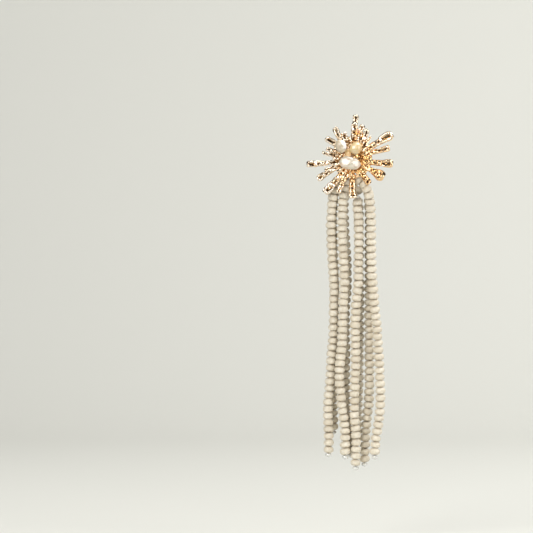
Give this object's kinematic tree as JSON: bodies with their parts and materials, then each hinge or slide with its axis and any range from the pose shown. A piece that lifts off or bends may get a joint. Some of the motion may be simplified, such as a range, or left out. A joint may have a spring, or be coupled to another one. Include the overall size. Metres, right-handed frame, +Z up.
{
  "type": "tassel earring",
  "caption": "Long tassel earring: a cast gold-coloured star with pearl and nuggets on a post, above hanging strands of small cream beads.",
  "frame": {"origin": "centre of the ear post where it leaves the pad, in the plane of the ear lobe's front skin", "axes": "+Z up, +Y through the ear lobe away from the viewer, so the star faces -Y; +X to the viewer's right"},
  "size_m": [0.0358, 0.021, 0.1423],
  "materials": {
    "gold": "light champagne gold plate, polished, with pits",
    "pearl": "nacre, glossy, faint pink and green",
    "nugget_pale": "tumbled, translucent white-grey",
    "nugget_cream": "tumbled, translucent cream-yellow with an amber spot",
    "nugget_peach": "tumbled, translucent peach",
    "post_metal": "plated, smooth",
    "beads": "matte cream, slightly uneven rondelles",
    "end_beads": "silvery white, pearly lustre"
  },
  "bodies": {
    "root": {"star_casting": "gold", "pearl": "pearl", "nugget_left": "nugget_pale", "nugget_right": "nugget_cream", "nugget_rear": "nugget_peach", "ear_post": "post_metal", "strand_far_left_front": "beads", "strand_far_left_rear": "beads", "strand_left_front": "beads", "strand_left_rear": "beads", "strand_right_front": "beads", "strand_right_rear": "beads", "strand_far_right_front": "beads", "strand_far_right_rear": "beads", "end_bead_far_left_front": "end_beads", "end_bead_far_left_rear": "end_beads", "end_bead_left_front": "end_beads", "end_bead_left_rear": "end_beads", "end_bead_right_front": "end_beads", "end_bead_right_rear": "end_beads", "end_bead_far_right_front": "end_beads", "end_bead_far_right_rear": "end_beads"}
  },
  "joints": []
}
